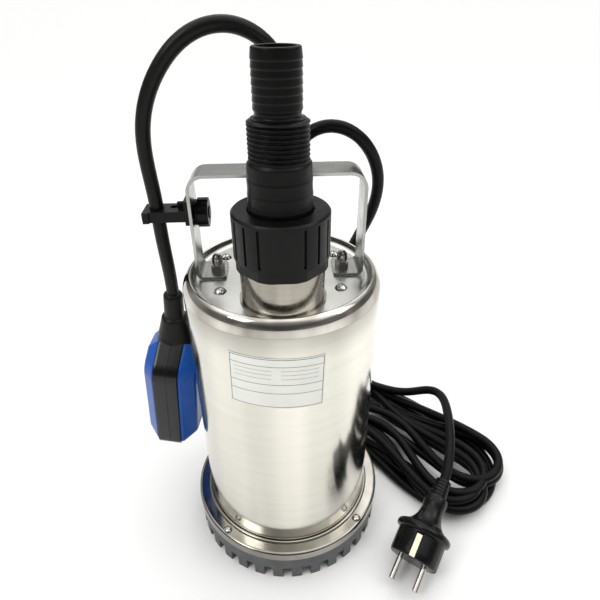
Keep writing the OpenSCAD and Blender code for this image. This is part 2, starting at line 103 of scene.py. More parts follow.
def resample(pts, step):
    d = [0.0]
    for a, b in zip(pts, pts[1:]):
        d.append(d[-1] + (b - a).length)
    n = max(2, int(round(d[-1] / step)))
    out, j = [], 0
    for i in range(n + 1):
        x = d[-1] * i / n
        while j < len(d) - 2 and d[j + 1] < x:
            j += 1
        t = (x - d[j]) / max(d[j + 1] - d[j], 1e-9)
        out.append(pts[j].lerp(pts[j + 1], min(max(t, 0), 1)))
    return out


def relax(pts, rounds, keep=3):
    pts = [p.copy() for p in pts]
    for _ in range(rounds):
        new = [p.copy() for p in pts]
        for i in range(keep, len(pts) - keep):
            new[i] = pts[i] * 0.5 + (pts[i - 1] + pts[i + 1]) * 0.25
        pts = new
    return pts


def tube_mesh(name, path, radius, sides=20, across=(0, 1, 0)):
    """A round tube along the path; radius is a number or a function of the share of the length."""
    path = [Vector(p) for p in path]
    n, verts, faces = len(path), [], []
    u = None
    for i, p in enumerate(path):
        t = (path[min(i + 1, n - 1)] - path[max(i - 1, 0)]).normalized()
        if u is None:
            u = t.cross(Vector(across)).normalized()
        u = (u - t * u.dot(t)).normalized()
        v = t.cross(u)
        r = radius(i / (n - 1)) if callable(radius) else radius
        for j in range(sides):
            a = 2 * math.pi * j / sides
            verts.append(p + r * (math.cos(a) * u + math.sin(a) * v))
    for i in range(n - 1):
        for j in range(sides):
            faces.append((i * sides + j, i * sides + (j + 1) % sides, (i + 1) * sides + (j + 1) % sides, (i + 1) * sides + j))
    faces.append(tuple(range(sides - 1, -1, -1)))
    faces.append(tuple((n - 1) * sides + j for j in range(sides)))
    return mesh(name, verts, faces, True, 60)


def surface(name, rows, closed=True, caps=(False, False), angle=40):
    """A grid of points, row by row; each row is a closed ring."""
    n, verts, faces = len(rows[0]), [], []
    for r in rows:
        verts.extend(r)
    for i in range(len(rows) - 1):
        for j in range(n if closed else n - 1):
            k = (j + 1) % n
            faces.append((i * n + j, i * n + k, (i + 1) * n + k, (i + 1) * n + j))
    if caps[0]:
        faces.append(tuple(range(n - 1, -1, -1)))
    if caps[1]:
        faces.append(tuple((len(rows) - 1) * n + j for j in range(n)))
    return mesh(name, verts, faces, True, angle)


def revolve(name, profile, centre=(0, 0), sides=96, radius_at=None, angle=40, frame_m=None):
    """Profile points (r, z) in mm turned about Z; radius_at(r, z, angle) may vary the radius."""
    rows = []
    for r, z in profile:
        ring = []
        for j in range(sides):
            a = 2 * math.pi * j / sides
            q = radius_at(r, z, a) if radius_at else r
            p = V(centre[0] + q * math.cos(a), centre[1] + q * math.sin(a), z)
            ring.append(frame_m @ p if frame_m else p)
        rows.append(ring)
    return surface(name, rows, angle=angle)


# ---------------------------------------------------------------- materials
def mat(name, color, rough, metal=0.0, var=0.06, vs=45.0, rvar=0.05, bump=0.00003, bs=1400.0,
        stretch=(1, 1, 1), coat=0.0, bevel=0.0, aniso=0.0, specular=None, blotch=0.0, color2=None):
    mt = bpy.data.materials.new(name)
    mt.use_nodes = True
    nt = mt.node_tree
    b = nt.nodes["Principled BSDF"]
    b.inputs["Metallic"].default_value = metal
    if coat:
        b.inputs["Coat Weight"].default_value = coat
        b.inputs["Coat Roughness"].default_value = 0.12
    if aniso:
        b.inputs["Anisotropic"].default_value = aniso
    if specular is not None:
        b.inputs["Specular IOR Level"].default_value = specular
    tc = nt.nodes.new("ShaderNodeTexCoord")
    mp = nt.nodes.new("ShaderNodeMapping")
    mp.inputs["Scale"].default_value = stretch
    nt.links.new(tc.outputs["Object"], mp.inputs["Vector"])

    def noise(scale, detail=4.0, vector=mp):
        n = nt.nodes.new("ShaderNodeTexNoise")
        n.inputs["Scale"].default_value = scale
        n.inputs["Detail"].default_value = detail
        nt.links.new(vector.outputs["Vector" if vector is mp else "Object"], n.inputs["Vector"])
        return n

    n1 = noise(vs)
    ramp = nt.nodes.new("ShaderNodeValToRGB")
    lo = [c * (1 - var) for c in color]
    hi = [min(1.0, c * (1 + var)) for c in (color2 or color)]
    ramp.color_ramp.elements[0].position, ramp.color_ramp.elements[1].position = 0.32, 0.68
    ramp.color_ramp.elements[0].color = (*lo, 1)
    ramp.color_ramp.elements[1].color = (*hi, 1)
    nt.links.new(n1.outputs["Fac"], ramp.inputs["Fac"])
    nt.links.new(ramp.outputs["Color"], b.inputs["Base Color"])
    n2 = noise(vs * 2.3, 3.0, tc if not blotch else mp)
    mr = nt.nodes.new("ShaderNodeMapRange")
    mr.inputs["From Min"].default_value, mr.inputs["From Max"].default_value = 0.3, 0.7
    mr.inputs["To Min"].default_value = max(0.02, rough - rvar)
    mr.inputs["To Max"].default_value = min(1.0, rough + rvar)
    nt.links.new(n2.outputs["Fac"], mr.inputs["Value"])
    nt.links.new(mr.outputs["Result"], b.inputs["Roughness"])
    n3 = noise(bs, 2.0)
    bp = nt.nodes.new("ShaderNodeBump")
    bp.inputs["Strength"].default_value = 1.0
    bp.inputs["Distance"].default_value = bump
    nt.links.new(n3.outputs["Fac"], bp.inputs["Height"])
    if bevel:
        bv = nt.nodes.new("ShaderNodeBevel")
        bv.samples = 4
        bv.inputs["Radius"].default_value = bevel
        nt.links.new(bv.outputs["Normal"], bp.inputs["Normal"])
    nt.links.new(bp.outputs["Normal"], b.inputs["Normal"])
    return mt


M = {
    "shell": mat("m_shell", (0.77, 0.75, 0.675), 0.14, 1.0, 0.03, 16, 0.03, 0.000004, 420, (1, 1, 12), aniso=0.2),
    # The rolled shoulder's dark brownish colour is a painted reflection of the surroundings.
    "bead": mat("m_bead", (0.56, 0.53, 0.48), 0.1, 1.0, 0.05, 50, 0.03, 0.000004, 300),
    # The stub's dark steel colour is painted shade: it stands for the dark reflections on its wall.
    "stub": mat("m_stub", (0.36, 0.335, 0.29), 0.15, 1.0, 0.05, 60, 0.04, 0.000003, 500, (1, 1, 10)),
    "lid": mat("m_lid", (0.65, 0.65, 0.62), 0.27, 1.0, 0.06, 30, 0.06, 0.00001, 700),
    # The flange's dark colour is in part painted shade for the darker reflections on the ring.
    "flange": mat("m_flange", (0.32, 0.305, 0.275), 0.14, 1.0, 0.07, 40, 0.05, 0.000006, 300),
    "strap": mat("m_strap", (0.40, 0.40, 0.38), 0.23, 1.0, 0.06, 60, 0.06, 0.000006, 500, (0.1, 1, 1), bevel=0.0004),
    "bolt": mat("m_bolt", (0.56, 0.545, 0.52), 0.17, 1.0, 0.08, 200, 0.06, 0.00001, 2500, bevel=0.0003),
    "base": mat("m_base", (0.075, 0.077, 0.081), 0.46, 0.0, 0.12, 90, 0.07, 0.00004, 1800, bevel=0.0005),
    "black": mat("m_black", (0.0040, 0.0044, 0.0038), 0.34, 0.0, 0.14, 110, 0.06, 0.00003, 1600, bevel=0.0006, specular=0.17),
    "adapter": mat("m_adapter", (0.0034, 0.0035, 0.0032), 0.36, 0.0, 0.14, 90, 0.06, 0.00003, 1400, specular=0.15),
    "cable": mat("m_cable", (0.0056, 0.0074, 0.0060), 0.36, 0.0, 0.16, 120, 0.07, 0.00003, 1500, color2=(0.0075, 0.0068, 0.0064), specular=0.17),
    "cord": mat("m_cord", (0.0030, 0.0031, 0.0035), 0.38, 0.0, 0.16, 120, 0.07, 0.00004, 1400, color2=(0.0044, 0.0038, 0.0042), specular=0.12),
    "plug": mat("m_plug", (0.0042, 0.0043, 0.0046), 0.25, 0.0, 0.14, 120, 0.07, 0.00003, 1500, bevel=0.0004, specular=0.24),
    "band": mat("m_band", (0.0050, 0.0054, 0.0050), 0.24, 0.0, 0.1, 60, 0.02, 0.000008, 700, coat=0.1, specular=0.34),
    "blue": mat("m_blue", (0.0065, 0.084, 0.41), 0.3, 0.0, 0.05, 60, 0.02, 0.000003, 1300, coat=0.04, specular=0.25),
    "label": mat("m_label", (0.92, 0.925, 0.87), 0.38, 0.0, 0.03, 70, 0.05, 0.000006, 900),
    "ink": mat("m_ink", (0.03, 0.03, 0.033), 0.5, 0.0, 0.1, 200, 0.05, 0.000002, 900),
    "nickel": mat("m_nickel", (0.52, 0.50, 0.46), 0.12, 1.0, 0.06, 150, 0.05, 0.00001, 900),
    "brass": mat("m_brass", (0.66, 0.60, 0.46), 0.18, 1.0, 0.08, 150, 0.05, 0.00001, 900),
    "inner": mat("m_inner", (0.05, 0.05, 0.055), 0.5, 0.0, 0.1, 90, 0.06, 0.00004, 900),
    "iron": mat("m_iron", (0.36, 0.36, 0.38), 0.45, 1.0, 0.1, 90, 0.08, 0.00004, 900),
    "cast": mat("m_cast", (0.62, 0.62, 0.63), 0.42, 1.0, 0.08, 90, 0.08, 0.00005, 900),
    "copper": mat("m_copper", (0.72, 0.33, 0.16), 0.32, 1.0, 0.12, 120, 0.08, 0.00008, 700),
    "steel": mat("m_steel", (0.72, 0.72, 0.72), 0.22, 1.0, 0.05, 90, 0.05, 0.00001, 900),
    "white": mat("m_white", (0.72, 0.70, 0.65), 0.42, 0.0, 0.05, 90, 0.05, 0.00003, 900),
    "lead": mat("m_lead", (0.14, 0.06, 0.03), 0.5, 0.0, 0.1, 90, 0.05, 0.00003, 900),
}


def tone(mt, scale, stretch, lo, hi, z0=None, z1=None, dark=1.0, tint=(1, 1, 1)):
    """Long soft streaks over a metal, and a zone of painted shade between two heights (in metres), darker towards the
    upper one.
    """
    nt = mt.node_tree
    b = nt.nodes["Principled BSDF"]
    src = b.inputs["Base Color"].links[0].from_socket
    tc = nt.nodes.new("ShaderNodeTexCoord")
    mp = nt.nodes.new("ShaderNodeMapping")
    mp.inputs["Scale"].default_value = stretch
    nt.links.new(tc.outputs["Object"], mp.inputs["Vector"])
    n = nt.nodes.new("ShaderNodeTexNoise")
    n.inputs["Scale"].default_value = scale
    n.inputs["Detail"].default_value = 2.0
    nt.links.new(mp.outputs["Vector"], n.inputs["Vector"])
    mr = nt.nodes.new("ShaderNodeMapRange")
    mr.inputs["From Min"].default_value, mr.inputs["From Max"].default_value = 0.35, 0.65
    mr.inputs["To Min"].default_value, mr.inputs["To Max"].default_value = lo, hi
    nt.links.new(n.outputs["Fac"], mr.inputs["Value"])
    val = mr.outputs["Result"]
    # Painted shade: the colour is scaled down smoothly from z0 to z1.
    if z0 is not None:
        sep = nt.nodes.new("ShaderNodeSeparateXYZ")
        nt.links.new(tc.outputs["Object"], sep.inputs[0])
        mz = nt.nodes.new("ShaderNodeMapRange")
        mz.interpolation_type = "SMOOTHSTEP"
        mz.inputs["From Min"].default_value, mz.inputs["From Max"].default_value = z0, z1
        mz.inputs["To Min"].default_value, mz.inputs["To Max"].default_value = 1.0, dark
        nt.links.new(sep.outputs["Z"], mz.inputs["Value"])
        mu = nt.nodes.new("ShaderNodeMath")
        mu.operation = "MULTIPLY"
        nt.links.new(val, mu.inputs[0])
        nt.links.new(mz.outputs["Result"], mu.inputs[1])
        val = mu.outputs[0]
    mix = nt.nodes.new("ShaderNodeVectorMath")
    mix.operation = "SCALE"
    nt.links.new(src, mix.inputs[0])
    nt.links.new(val, mix.inputs["Scale"])
    nt.links.new(mix.outputs["Vector"], b.inputs["Base Color"])


# The shell's darker band from 205 to 236 mm high is painted shade under the rolled shoulder.
tone(M["shell"], 26, (1, 1, 0.05), 0.86, 1.1, 0.205, 0.236, 0.54)
tone(M["stub"], 60, (1, 1, 0.06), 0.6, 1.15)
tone(M["bead"], 38, (1, 1, 0.3), 0.55, 1.25)
tone(M["flange"], 34, (1, 1, 0.3), 0.75, 1.15)
tone(M["strap"], 40, (0.3, 1, 1), 0.82, 1.15)
tone(M["lid"], 22, (1, 1, 1), 0.88, 1.08)


def paint(o, key):
    o.data.materials.clear()
    o.data.materials.append(M[key])


for key, names in {
    "shell": ["outer_shell"], "bead": ["rim_seam"], "stub": ["outlet_stub"], "lid": ["top_cover"],
    "flange": ["base_flange"], "strap": ["handle_strap"],
    "bolt": ["flange_screws", "cover_screws", "handle_studs", "handle_nuts"],
    "base": ["strainer_ring", "strainer_feet", "base_plate"],
    "black": ["union_nut", "gland_bodies", "power_gland_nut", "float_gland_nut", "clip_arm", "clip_knob", "outlet_gasket", "can_o_ring"],
    "adapter": ["hose_adapter"], "cable": ["float_cable_upper", "float_cable_lower", "cable_boot"],
    "band": ["float_band"], "blue": ["float_shell_outer", "float_shell_inner"],
    "cord": ["power_cord", "cord_hank", "plug_cord"], "plug": ["plug_relief", "plug_body"],
    "nickel": ["plug_pins", "switch_ball"], "brass": ["plug_earth_strips"], "label": ["rating_label"],
    "inner": ["suction_cover", "volute_ring", "seal_plate", "impeller"],
    "iron": ["stator_core", "rotor_core"], "cast": ["lower_carrier", "upper_carrier", "rotor_end_rings"],
    "copper": ["stator_windings"],
    "steel": ["motor_can", "motor_cover", "motor_shaft", "impeller_nut", "bearing_outer_rings", "bearing_inner_rings", "bearing_balls"],
    "white": ["run_capacitor", "ball_tube", "microswitch", "shaft_seal_seat"], "lead": ["motor_leads", "shaft_seal_head"],
}.items():
    for nm in names:
        paint(NODES[nm], key)


# ---------------------------------------------------------------- mains lead
POWER = [(12,36,262),(11.5,36,276),(9,36,290),(9,35,304),(15,33,317),(27,31,325.5),(41.5,30,325.5),(54.5,31.5,317.5),
         (64,35,304.5),(69.5,39,289),(70,43.5,273),(67.5,49,257),(63,54.5,242.5),(58.5,60,228.5),(54,65.5,213.5),(50,69.5,198.5),
         (48,72,183),(47.5,73,167),(47.5,73.5,150),(48,73.5,134),(48.5,73.5,118),(48.5,74,102),(48.5,74.5,86),(48,75.5,70),
         (46.5,77.5,54),(44.5,80,38.5)]
PLUG = [(113,104,28.5),(125.5,96,32),(137,91,36.5),(147,89,41.5),(155,82.5,46),(158.5,71,49.5),(158,57,52),(155.5,41,53.5),
        (152,25,54),(148,9,53),(143,-6,51.2),(137.6,-19.2,48.6),(131.7,-28.8,44.5),(128.7,-33.2,42.3)]
HC, HA = (108, 74), math.radians(-48)


def hank_point(s, n, z):
    return (HC[0] + s * math.cos(HA) - n * math.sin(HA), HC[1] + s * math.sin(HA) + n * math.cos(HA), z)


def hank_points():
    """Eight flat turns of the lead: front folds and back folds as (from, to, height), crossing each other as they lie."""
    front = [(46, -46, 4.4, 70), (37, -37, 4.4, 77), (28, -28, 4.4, 84), (12, -46, 11.5, 88), (46.5, -11.5, 12.2, 86),
             (22, -36, 19.0, 82), (44, -14, 20.0, 85), (13, -45, 17.0, 82)]
    back = [(-46, 44, 4.4, -74), (-38, 38, 4.4, -72), (-30, 30, 4.4, -78), (-42, 16, 11.0, -82), (-34, 25, 13.0, -78),
            (-17, 41, 13.0, -81), (-36, 23, 20.0, -76), (-28, 30, 21.0, -82), (-43, 15, 24.0, -79)]
    inward = {3.5: -10, 4: 18, 4.5: -16, 5: 5, 5.5: -19, 6: 22, 6.5: -6, 7: 21, 7.5: -12, 8: 14}
    pts = []

    def put(s, n, z):
        q = ((s - 5) / 85) ** 2
        pts.append(hank_point(s, n - 6.5 * q / (1 + 0.6 * q), z))

    def run(k, n0, n1, s0, s1, z0, z1):
        for i in range(1, 16):
            t = i / 16
            e = t * t * (3 - 2 * t)
            s = s0 + (s1 - s0) * t
            w = 1.7 * math.sin(s / 27 + 2.1 * k) * max(0.0, 1 - (s / 95) ** 2)
            put(s, n0 + (n1 - n0) * e + w + inward.get(k, 0) * math.sin(math.pi * t) ** 2, z0 + (z1 - z0) * t)

    def fold(n0, n1, z, s0, sign):
        r, mid = abs(n0 - n1) / 2, (n0 + n1) / 2
        for i in range(0, 17):
            t = math.pi * i / 16
            put(s0 + sign * r * math.sin(t), mid + (n0 - mid) * math.cos(t), z + (1.6 * math.sin(t) if z > 8 else 0.0))

    for k in range(9):
        f = front[k - 1] if k else None
        g = back[k]
        if f:
            run(k, f[1], g[0], f[3], g[3], f[2], g[2])
        fold(g[0], g[1], g[2], g[3], -1)
        if k < 8:
            f = front[k]
            run(k + 0.5, g[1], f[0], g[3], f[3], g[2], f[2])
            fold(f[0], f[1], f[2], f[3], 1)
    for s in (-70, -58, -46):
        put(s, 17 + (s + 70) / 8, 25.5)
    return pts


def lead_points():
    first = [Vector(p) for p in POWER]
    down = [Vector(p) for p in [(41.5, 83.5, 26.5), (37, 88, 16), (31, 94, 8.5)]]
    pts = smooth_path(first + down + [Vector(p) for p in hank_points()] + [Vector(p) for p in PLUG], 4)
    pts = resample(pts, 4.0)
    pts = relax(pts, 8, 4)
    return [p * MM for p in pts]


lead_path = lead_points()


def curve_tube(name, pts, radius, key):
    cu = bpy.data.curves.new(name, "CURVE")
    cu.dimensions = "3D"
    cu.bevel_depth = radius
    cu.bevel_resolution = 4
    cu.use_fill_caps = True
    sp = cu.splines.new("POLY")
    sp.points.add(len(pts) - 1)
    for q, p in zip(sp.points, pts):
        q.co = (*p, 1)
    sp.use_smooth = True
    o = link(bpy.data.objects.new(name, cu))
    o.data.materials.append(M[key])
    return o


lead = curve_tube("mains_lead", lead_path, 4.2 * MM, "cord")
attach(lead, "pump")
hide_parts("power_cord", "cord_hank", "plug_cord")

# ---------------------------------------------------------------- plug
pc, pyaw, ptilt = V(95.7, -79.8, 17.6), math.radians(-125.2), math.radians(23.3)
PLUG_M = Matrix.Translation(pc) @ Matrix.Rotation(pyaw, 4, "Z") @ Matrix.Rotation(ptilt, 4, "Y") @ Matrix.Rotation(math.pi / 2, 4, "Y")

relief = [(4.25, -69.0), (5.4, -69.2)]
for i in range(77):
    z = -69 + 15.2 * i / 76
    t = (z + 69) / 15.2
    w = (z + 69) % 2.8
    relief.append((6.3 + 0.8 * t - (0.75 if 1.9 < w < 2.65 and z < -55.5 else 0.0), z))
rel = revolve("plug_relief_ribs", relief, (0, 0), 48, frame_m=PLUG_M, angle=50)
paint(rel, "plug")
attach(rel, "pump")
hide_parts("plug_relief")


def plug_radius(r, z, a):
    """Guide grooves at the two sides and a recess for the earth strips."""
    if z > -19 and r > 15:
        da = abs((a % math.pi) - math.pi / 2)
        if da < 0.135:
            return r - 2.0 * (1 - (da / 0.135) ** 2) ** 0.5
        dx = min(a % math.pi, math.pi - a % math.pi)
        if dx < 0.14:
            return min(r, 16.9 / max(math.cos(dx), 0.9))
    return r


plug_profile = [(0.01, 0.0), (9, 0.0), (15.5, 0.0), (17.6, -0.1), (18.4, -0.5), (18.9, -1.4), (19.0, -6), (19.05, -12),
                (19.1, -18.9), (19.12, -19.3), (19.3, -19.9), (20.4, -20.3), (21.3, -20.9), (21.9, -22.0), (22.0, -23.2), (21.8, -24.5),
                (21.1, -25.6), (19.6, -26.5), (17.2, -27.5), (14.9, -28.9), (12.8, -30.8), (11.2, -33.2), (10.0, -36.2), (9.2, -39.2),
                (8.85, -42.4), (9.0, -44.6), (9.35, -46.4), (9.6, -48.2), (9.65, -50.2), (9.45, -52.4), (9.0, -53.6), (8.2, -54.0), (6.5, -54.1)]
pb = revolve("plug_shell", plug_profile, (0, 0), 128, plug_radius, angle=42, frame_m=PLUG_M)
paint(pb, "plug")
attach(pb, "pump")
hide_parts("plug_body")

# ---------------------------------------------------------------- float cable
FLOAT_UP = [(-14,36,262),(-13,36,278),(-10,36,293.5),(-4.5,36,308.5),(1,35,323),(5,33,338.5),(5,29.5,353.5),(0,24.5,368),
            (-10.5,19.5,378.5),(-24.5,15,384),(-40,11.5,382.5),(-53.5,10,375),(-64.5,9.5,363.5),(-73,9.5,350),(-78.5,9.5,335),
            (-80.5,9.5,319.5),(-80,9.5,303.5),(-79,9.5,288),(-79,9.5,272)]
FLOAT_LOW = [(-79,9.8,262),(-79,10.7,254),(-79.1,12.7,243),(-79.4,15.5,231),(-79.9,17.8,220),(-80.4,19.2,211.5),(-80.9,19.6,206.5)]
fpath = relax(resample(smooth_path(FLOAT_UP + FLOAT_LOW, 6), 3.0), 8, 3)
fcable = tube_mesh("float_cable", [p * MM for p in fpath], 4.5 * MM, 24, (0, 1, 0))
paint(fcable, "cable")
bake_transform(fcable)
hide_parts("float_cable_upper", "float_cable_lower")

# ---------------------------------------------------------------- float
FLOAT_M = (Matrix.Translation(V(-75, 14.5, 265)) @ Matrix.Rotation(math.radians(5.8), 4, "Y")
           @ Matrix.Rotation(math.radians(5), 4, "X") @ Matrix.Rotation(math.radians(-7), 4, "Z"))


def float_outline(inset, rc=8.0):
    """Points of the float's outline (v, w) with rounded corners; always the same number of points."""
    w, zt, zs, zb = 32 - inset, -94 - inset, -110 - inset * 0.35, -193 + inset
    corners = [(-10 + inset * 0.2, zt, 3.5), (10 - inset * 0.2, zt, 3.5), (w, zs, 17.0), (w, zb, rc), (-w, zb, rc), (-w, zs, 17.0)]
    out, n = [], len(corners)
    for i, (x, y, r) in enumerate(corners):
        p, a, b = Vector((x, y)), Vector(corners[i - 1][:2]), Vector(corners[(i + 1) % n][:2])
        da, db = (a - p), (b - p)
        la, lb = da.length, db.length
        da, db = da / la, db / lb
        half = math.acos(max(-1, min(1, da.dot(db)))) / 2
        rr = max(0.4, r - inset * 0.35)
        t = min(rr / math.tan(half), la * 0.45, lb * 0.45)
        rr = t * math.tan(half)
        c = p + (da + db).normalized() * (rr / math.sin(half))
        s, e = p + da * t, p + db * t
        a0, a1 = math.atan2(s.y - c.y, s.x - c.x), math.atan2(e.y - c.y, e.x - c.x)
        d = (a1 - a0 + math.pi) % (2 * math.pi) - math.pi
        for k in range(9):
            an = a0 + d * k / 8
            out.append((c.x + rr * math.cos(an), c.y + rr * math.sin(an)))
        nx = Vector(corners[(i + 1) % n][:2])
        for k in range(1, 6):
            q = e.lerp(p.lerp(nx, 0.5), k / 6) if k < 6 else None
            out.append((q.x, q.y))
    return out


def float_ring(u, inset, rc=8.0):
    return [FLOAT_M @ V(u, v, w) for v, w in float_outline(inset, rc)]


def float_part(name, rows, key, caps=(True, True), angle=38):
    rings = [float_ring(*r) for r in rows]
    o = surface(name, rings, caps=(False, False), angle=angle)
    me = o.data
    n = len(rings[0])
    verts = [v.co.copy() for v in me.vertices]
    faces = [tuple(p.vertices) for p in me.polygons]
    for end in (0, 1):
        if not caps[end]:
            continue
        base = 0 if end == 0 else (len(rings) - 1) * n
        ring = verts[base:base + n]
        c = sum(ring, Vector()) / n
        prev = list(range(base, base + n))
        for f in (0.75, 0.5, 0.25):
            start = len(verts)
            verts.extend(c + (p - c) * f for p in ring)
            cur = list(range(start, start + n))
            for j in range(n):
                k = (j + 1) % n
                q = (prev[j], cur[j], cur[k], prev[k])
                faces.append(q if end == 1 else q[::-1])
            prev = cur
        verts.append(c)
        for j in range(n):
            q = (prev[j], len(verts) - 1, prev[(j + 1) % n])
            faces.append(q if end == 1 else q[::-1])
    bpy.data.objects.remove(o)
    bpy.data.meshes.remove(me)
    o = mesh(name, verts, faces, True, angle)
    paint(o, key)
    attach(o, "float")
    return o


band = float_part("float_band_ring", [(-10.6, 2.6), (-10.6, 0.9), (-10.3, 0.25), (-9.6, 0.0), (-8.0, 0.0), (-4.0, 0.0), (-0.5, 0.0), (-0.25, 0.22), (0.25, 0.22), (0.5, 0.0),
                                      (7.5, 0.0), (8.2, 0.25), (8.5, 0.9), (8.5, 2.6)], "band", caps=(True, True))
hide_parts("float_band")
for side, nm in ((1, "float_shell_inner"), (-1, "float_shell_outer")):
    rows = [(8.2, 2.2), (8.7, 1.6), (9.2, 1.25), (9.9, 1.35), (10.8, 1.75), (18.6, 8.35), (19.5, 9.2), (20.1, 10.2), (20.5, 11.6),
            (20.5, 14.5), (20.25, 15.6), (20.25, 17.5)]
    if side < 0:
        rows = [(min(-u, -10.4 - 0.5 * (u - 8.2)) if u < 12 else -u, i) for u, i in rows][::-1]
    sh = float_part(nm + "_form", rows, "blue", caps=(side < 0, side > 0), angle=50)
    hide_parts(nm)

boot_profile = [(4.4, -53.6), (5.4, -53.9), (6.3, -54.6), (6.9, -55.6), (7.15, -57.5), (7.45, -74.2), (7.7, -74.6), (8.7, -75.0), (9.3, -75.6),
                (9.7, -76.6), (10.0, -78.5), (10.7, -82.0), (11.5, -86.5), (12.4, -91.0), (13.2, -95.0), (13.9, -99.0), (13.6, -100.4), (11.0, -100.6)]


def boot_radius(r, z, a):
    """The neck is drawn out a little towards the float's edges lower down."""
    if z < -78:
        return r * (1 + 0.06 * min(1.0, (-78 - z) / 18) * math.cos(2 * a))
    return r


fine = []
for (r0, z0), (r1, z1) in zip(boot_profile, boot_profile[1:]):
    k = max(1, int(abs(z1 - z0) / 1.2))
    fine += [(r0 + (r1 - r0) * i / k, z0 + (z1 - z0) * i / k) for i in range(k)]
fine.append(boot_profile[-1])
boot = revolve("cable_boot_form", fine[::-1], (0, 0), 96, boot_radius, frame_m=FLOAT_M, angle=45)
paint(boot, "cable")
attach(boot, "float")
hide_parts("cable_boot")

# ---------------------------------------------------------------- hose adapter with a helical thread
def adapter_profile():
    zs, prof = [], []
    z = 282.0
    prof += [(17.0, 282.0), (25.6, 282.0), (25.6, 287.4), (18.5, 287.4)]
    z = 287.8
    while z < 343.2:
        zs.append(z)
        z += 0.22 if 321 < z < 342.5 else 0.45
    for z in zs:
        if z < 321.4:
            t = (z - 288) / 33.4
            r = 18.75 - 0.85 * max(0.0, t) ** 1.25
            for zc, dr in ((296.4, 0.18), (304.2, 0.2), (312.0, 0.22)):
                x = z - zc
                if -3.5 < x < 0.0:
                    r += dr * (1 + x / 3.5)
                elif 0 <= x < 0.6:
                    r += dr * (1 - x / 0.6)
            if z > 320.3:
                r -= (z - 320.3) * 0.9
        elif z < 342.0:
            r = 16.85
        else:
            r = 16.3 - (z - 342.0) ** 1.5 * 1.6
        prof.append((r, z))
    prof += [(14.6, 343.5), (13.2, 343.8), (12.45, 344.3), (12.3, 345.2), (12.3, 346.2)]
    z = 346.6
    while z < adapter_top - 0.9:
        k = (z - 347.9) / 3.87
        i, fr = math.floor(k), k - math.floor(k)
        if z < 347.9:
            r = 12.35 + 0.7 * (z - 346.4) / 1.5
        elif z < 371.1:
            r = 13.1 - 0.42 * fr if fr < 0.84 else 12.747 + (fr - 0.84) / 0.16 * 0.353
        else:
            r = 13.1 - 0.5 * (z - 371.1) / 4.6
        prof.append((r, z))
        z += 0.35
    prof += [(12.55, adapter_top - 0.7), (12.3, adapter_top - 0.2), (11.9, adapter_top), (10.5, adapter_top), (10.1, adapter_top - 0.2),
             (10.0, adapter_top - 0.8), (10.0, 350.0), (10.0, 327.0), (15.0, 315.0), (15.0, 282.0)]
    return prof


def adapter_radius(r, z, a):
    if 321.6 < z < 341.8 and r > 15:
        ph = ((z - 322.0) / 2.45 + a / (2 * math.pi)) % 1.0
        tri = 1 - abs(2 * ph - 1)
        cut = 1.15 * min(1.0, max(0.0, (tri - 0.18) / 0.62))
        fade = min(1.0, (z - 321.6) / 1.0, (341.8 - z) / 1.0)
        return 16.85 - cut * fade
    return r


adapter_top = 376.5
ad = revolve("hose_adapter_form", adapter_profile(), (0.5, -28.5), 144, adapter_radius, angle=50)
paint(ad, "adapter")
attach(ad, "pump")
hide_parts("hose_adapter")

# ---------------------------------------------------------------- casing: tube, rolled shoulder and the lip of the flange
def casing_part(name, profile, key, angle=35):
    o = revolve(name, profile + [profile[0]], (0, 0), 192, angle=angle)
    paint(o, key)
    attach(o, "pump")
    return o


shell_tube = [(66.2, 229.4), (66.2, 130.0), (66.2, 30.5), (66.9, 30.5), (67.0, 30.6)]
shell_tube += [(67.0, 30.5 + 198.9 * i / 24) for i in range(1, 24)] + [(67.0, 229.4)]
tube = casing_part("shell_tube", shell_tube, "shell")
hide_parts("outer_shell")
shoulder = [(66.2, 229.5), (67.0, 229.5), (66.98, 230.6), (66.9, 231.7), (66.75, 232.8), (66.52, 233.9), (66.2, 235.0), (65.77, 236.1),
            (65.22, 237.1), (64.56, 238.1), (63.8, 239.0), (63.0, 239.7), (62.2, 240.2), (61.5, 240.45), (60.95, 240.4), (60.6, 240.1),
            (60.45, 239.5), (60.4, 238.0), (60.4, 235.8), (63.6, 235.2), (65.4, 233.0)]
# The shoulder takes the bead steel, whose dark colour is a painted reflection.
rim = casing_part("rolled_shoulder", shoulder, "bead", 50)
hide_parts("rim_seam")
lip = [(67.2, 31.6), (67.2, 32.9), (67.35, 33.3), (67.7, 33.55), (68.2, 33.6), (68.8, 33.45), (69.3, 33.05), (69.6, 32.5), (69.75, 31.95), (69.75, 31.6)]
casing_part("flange_inner_lip", lip, "flange", 50)

# ---------------------------------------------------------------- label: blank film with plain ruled lines
def on_shell(x, z, r=67.27):
    """A point of the label plane: x across and z up from its middle, both in mm."""
    t = math.radians(1.7)
    xx, zz = x * math.cos(t) + z * math.sin(t), -x * math.sin(t) + z * math.cos(t)
    a = math.radians(-4.7) + xx / 67.0
    return V(r * math.sin(a), -r * math.cos(a), 195.5 + zz)


def patch(x0, x1, z0, z1, r, nx=24):
    out = []
    for i in range(nx):
        a, b = x0 + (x1 - x0) * i / nx, x0 + (x1 - x0) * (i + 1) / nx
        out.append([on_shell(a, z0, r), on_shell(b, z0, r), on_shell(b, z1, r), on_shell(a, z1, r)])
    return out


def quads(name, qs, key):
    verts, faces = [], []
    for q in qs:
        faces.append(tuple(range(len(verts), len(verts) + 4)))
        verts += q
    o = mesh(name, verts, faces, False)
    paint(o, key)
    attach(o, "pump")
    return o


